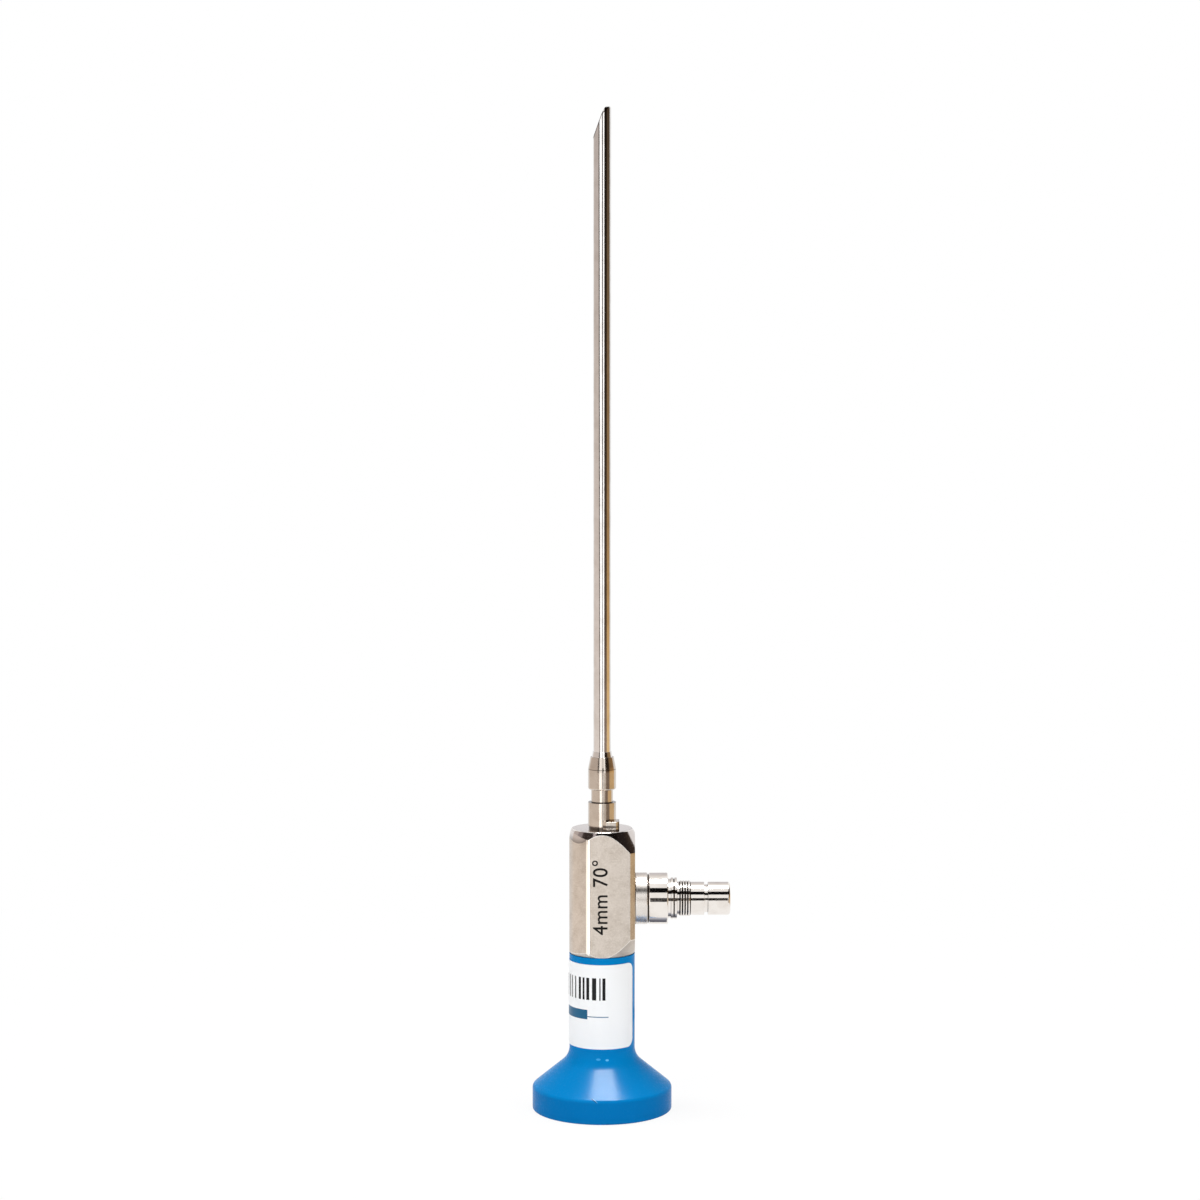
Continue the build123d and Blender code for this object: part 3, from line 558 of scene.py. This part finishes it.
for piece, nodes in ((ferrule, ["sheath_ferrule"]), (lug, ["locating_lug"]), (tube, ["sheath_tube"]),
                     (innerRing, ["light_post_inner_ring"]),
                     (post, ["light_post_outer_ring", "light_post_core"])):
    steelMaterial, tree = newMaterial(piece["name"])
    place = addNode(tree, "TexCoord", output="Object")
    along = addNode(tree, "Mapping", {"Vector": place, "Scale": piece["stretch"]})
    streaks = addNode(tree, "TexNoise", {"Vector": along, "Scale": 1 / (piece["streak"] * mm),
                                         "Detail": 2.0})
    smears = addNode(tree, "TexNoise", {"Vector": place, "Scale": 1 / (smearSize * mm), "Detail": 2.0})
    smeared = addNode(tree, "MapRange", {"Value": smears, "From Min": 0.4, "From Max": 0.7,
                                         "To Max": 0.4})
    colour = addNode(tree, "Mix", {0: smeared, 6: piece["colour"], 7: piece["smear"]}, output=2,
                     data_type="RGBA")
    # painted shade and painted dark reflections at the listed spots
    for spot, halfSize, lean in piece["paintedShadeAt"]:
        local = addNode(tree, "Mapping", {
            "Vector": place, "Location": Vector(spot) * mm, "Scale": Vector(halfSize) * mm,
            "Rotation": (0, radians(lean), 0),
        }, vector_type="TEXTURE")
        reachOut = addNode(tree, "VectorMath", {0: local}, output="Value", operation="LENGTH")
        paintedShade = addNode(tree, "MapRange", {"Value": reachOut, "From Min": 1.2, "From Max": 0.6,
                                           "To Max": 0.85})
        colour = addNode(tree, "Mix", {0: paintedShade, 6: colour, 7: piece["paintedShadeColour"]}, output=2,
                         data_type="RGBA")
    # painted shade in the grooves of the light post
    if piece in (post, innerRing):
        x, y, z = addNode(tree, "SeparateXYZ", {"Vector": place}, output=None)
        fromAxis = addNode(tree, "VectorMath", {0: place, 1: (0, 0, -postAxis * mm)}, operation="ADD")
        fromAxis = addNode(tree, "VectorMath", {0: fromAxis, 1: (0, 1, 1)}, operation="MULTIPLY")
        radius = addNode(tree, "VectorMath", {0: fromAxis}, output="Value", operation="LENGTH")
        for start, end, limit in postGrooves:
            within = addNode(tree, "Math", {0: x, 1: (start + end) / 2 * mm, 2: (end - start) / 2 * mm},
                             operation="COMPARE")
            deep = addNode(tree, "Math", {0: radius, 1: limit * mm}, operation="LESS_THAN")
            paintedShade = addNode(tree, "Math", {0: within, 1: deep}, operation="MULTIPLY")
            colour = addNode(tree, "Mix", {0: paintedShade, 6: colour, 7: piece["paintedShadeColour"]}, output=2,
                             data_type="RGBA")
    softened = addNode(tree, "Bevel", {"Radius": piece["edge"] * mm}, samples=4)
    shader = addNode(tree, "BsdfPrincipled", {
        "Base Color": colour,
        "Metallic": 1.0,
        "Roughness": addNode(tree, "MapRange", {
            "Value": streaks, "From Min": 0.3, "From Max": 0.7,
            "To Min": piece["roughness"], "To Max": piece["roughness"] + 0.05,
        }),
        "Normal": addNode(tree, "Bump", {"Height": streaks, "Distance": piece["streakDepth"] * mm,
                                         "Strength": 0.5, "Normal": softened}),
    })
    addNode(tree, "OutputMaterial", {"Surface": shader})
    giveMaterial(steelMaterial, *nodes)
print("steel set")


# Label: white film, printed with plain bars and a teal block

labelPrint = {
    "film": "FCFDFE", "ink": "0C0A0E", "teal": "0F5F86",
    "waves": 4, "waveDepth": 0.02,      # mm
    # each print's top and foot in mm, then its start and end in degrees from the front, where minus
    # is towards the hidden side
    "barHeights": (31.7, 26.6),
    "bars": [(5.8, 0.5), (-2.6, -4.8), (-10.0, -17.5), (-22.5, -28.0), (-31.5, -35.5), (-39.0, -44.0),
             (-50.5, -53.5), (-60.5, -63.5), (-68.5, -72.5), (-80.0, -86.0), (-92.0, -94.0),
             (-98.0, -104.0)],
    "blockHeights": (24.3, 22.1), "block": (-26.0, -100.0),
    "lineHeights": (22.85, 22.65), "line": (11.0, -26.0),
}

# smooth white film, slightly glossy and a little wavy where it is stuck down, with flat ink
labelMaterial, tree = newMaterial("printedPolyesterFilm")
place = addNode(tree, "TexCoord", output="Object")
x, y, z = addNode(tree, "SeparateXYZ", {"Vector": place}, output=None)
towardsFront = addNode(tree, "Math", {0: y, 1: -1.0}, operation="MULTIPLY")
angle = addNode(tree, "Math", {0: x, 1: towardsFront}, operation="ARCTAN2")
angle = addNode(tree, "Math", {0: angle, 1: 180 / pi}, operation="MULTIPLY")
waves = addNode(tree, "TexNoise", {"Vector": place, "Scale": 1 / (labelPrint["waves"] * mm),
                                   "Detail": 2.0})
colour = labelPrint["film"]
prints = [(bar, labelPrint["barHeights"], labelPrint["ink"]) for bar in labelPrint["bars"]]
prints.append((labelPrint["block"], labelPrint["blockHeights"], labelPrint["teal"]))
prints.append((labelPrint["line"], labelPrint["lineHeights"], labelPrint["teal"]))
for (start, end), (top, foot), inkColour in prints:
    aroundNeck = addNode(tree, "Math", {0: angle, 1: (start + end) / 2, 2: (start - end) / 2},
                         operation="COMPARE")
    upNeck = addNode(tree, "Math", {0: z, 1: (top + foot) / 2 * mm, 2: (top - foot) / 2 * mm},
                     operation="COMPARE")
    inked = addNode(tree, "Math", {0: aroundNeck, 1: upNeck}, operation="MULTIPLY")
    colour = addNode(tree, "Mix", {0: inked, 6: colour, 7: inkColour}, output=2, data_type="RGBA")
shader = addNode(tree, "BsdfPrincipled", {
    "Base Color": colour, "Roughness": 0.32, "IOR": 1.5, "Specular IOR Level": 0.25,
    "Normal": addNode(tree, "Bump", {"Height": waves, "Distance": labelPrint["waveDepth"] * mm,
                                     "Strength": 0.4}),
})
addNode(tree, "OutputMaterial", {"Surface": shader})
giveMaterial(labelMaterial, "adhesive_label")
print("label set")


# Inner pieces

glass = {"colour": "F4F2FA", "coating": "C8B8F0", "ior": 1.52, "roughness": 0.02}

glassMaterial, tree = newMaterial("coatedOpticalGlass")     # clear, with the faint violet of its coating
shader = addNode(tree, "BsdfPrincipled", {
    "Base Color": glass["colour"], "Roughness": glass["roughness"], "IOR": glass["ior"],
    "Transmission Weight": 1.0, "Specular Tint": glass["coating"],
})
addNode(tree, "OutputMaterial", {"Surface": shader})
giveMaterial(glassMaterial, "eyepiece_window", "ocular_eye_lens", "ocular_field_lens",
             "objective_front_lens", "objective_rear_lens", "tip_prism", "tip_window",
             *[f"rod_lens_{n}" for n in range(1, 7)])

# anodised aluminium is a dull black with a fine tooth, rubber softer and coarser, spring steel
# dark and smooth, brass warm and a little uneven, and the drawn inner tube pale and even. The
# grain and its depth are in mm
inner = {
    "blackAnodisedAluminium": {
        "colour": "17171A", "second": "222226", "roughness": 0.42, "metallic": 0.0,
        "grain": 0.3, "depth": 0.003,
        "nodes": ["window_ring", "ocular_barrel", "ocular_spacer", "ocular_long_spacer", "field_stop",
                  "objective_spacer", *[f"rod_spacer_{n}" for n in range(1, 8)]],
    },
    "siliconeRubber": {
        "colour": "2A2A2C", "second": "343436", "roughness": 0.6, "metallic": 0.0,
        "grain": 0.4, "depth": 0.010, "nodes": ["window_gasket", "neck_seal"],
    },
    "springSteel": {
        "colour": "9A9690", "second": "7E7A74", "roughness": 0.3, "metallic": 1.0,
        "grain": 0.4, "depth": 0.002, "nodes": ["disc_spring"],
    },
    "turnedBrass": {
        "colour": "C9A45A", "second": "B8924A", "roughness": 0.28, "metallic": 1.0,
        "grain": 0.3, "depth": 0.002, "nodes": ["optics_bush"],
    },
    "drawnInnerTube": {
        "colour": "BDB8B2", "second": "A8A29C", "roughness": 0.25, "metallic": 1.0,
        "grain": 0.3, "depth": 0.002, "nodes": ["optics_tube"],
    },
}
for name, finish in inner.items():
    innerMaterial, tree = newMaterial(name)
    place = addNode(tree, "TexCoord", output="Object")
    grain = addNode(tree, "TexNoise", {"Vector": place, "Scale": 1 / (finish["grain"] * mm),
                                       "Detail": 3.0})
    share = addNode(tree, "MapRange", {"Value": grain, "From Min": 0.35, "From Max": 0.7})
    colour = addNode(tree, "Mix", {0: share, 6: finish["colour"], 7: finish["second"]}, output=2,
                     data_type="RGBA")
    shader = addNode(tree, "BsdfPrincipled", {
        "Base Color": colour,
        "Metallic": finish["metallic"],
        "Roughness": addNode(tree, "MapRange", {
            "Value": grain, "From Min": 0.3, "From Max": 0.7,
            "To Min": finish["roughness"] - 0.05, "To Max": finish["roughness"] + 0.05,
        }),
        "Normal": addNode(tree, "Bump", {"Height": grain, "Distance": finish["depth"] * mm,
                                         "Strength": 0.5}),
    })
    addNode(tree, "OutputMaterial", {"Surface": shader})
    giveMaterial(innerMaterial, *finish["nodes"])

fibres = {
    "resin": "E4E0CE", "fibre": "6E6A58", "roughness": 0.18, "ior": 1.52,
    "size": 0.09,                       # mm, drawn coarser than the real 0.03 so that it shows
}

fibreMaterial, tree = newMaterial("pottedGlassFibres")      # polished fibre ends, set in pale resin
place = addNode(tree, "TexCoord", output="Object")
cells = addNode(tree, "TexVoronoi", {"Vector": place, "Scale": 1 / (fibres["size"] * mm)},
                output="Distance")
share = addNode(tree, "MapRange", {"Value": cells, "From Min": 0.2, "From Max": 0.6})
colour = addNode(tree, "Mix", {0: share, 6: fibres["resin"], 7: fibres["fibre"]}, output=2,
                 data_type="RGBA")
shader = addNode(tree, "BsdfPrincipled", {
    "Base Color": colour, "Roughness": fibres["roughness"], "IOR": fibres["ior"],
})
addNode(tree, "OutputMaterial", {"Surface": shader})
giveMaterial(fibreMaterial, "fibre_sleeve", "fibre_strand", "fibre_rod")
print("inner pieces set")
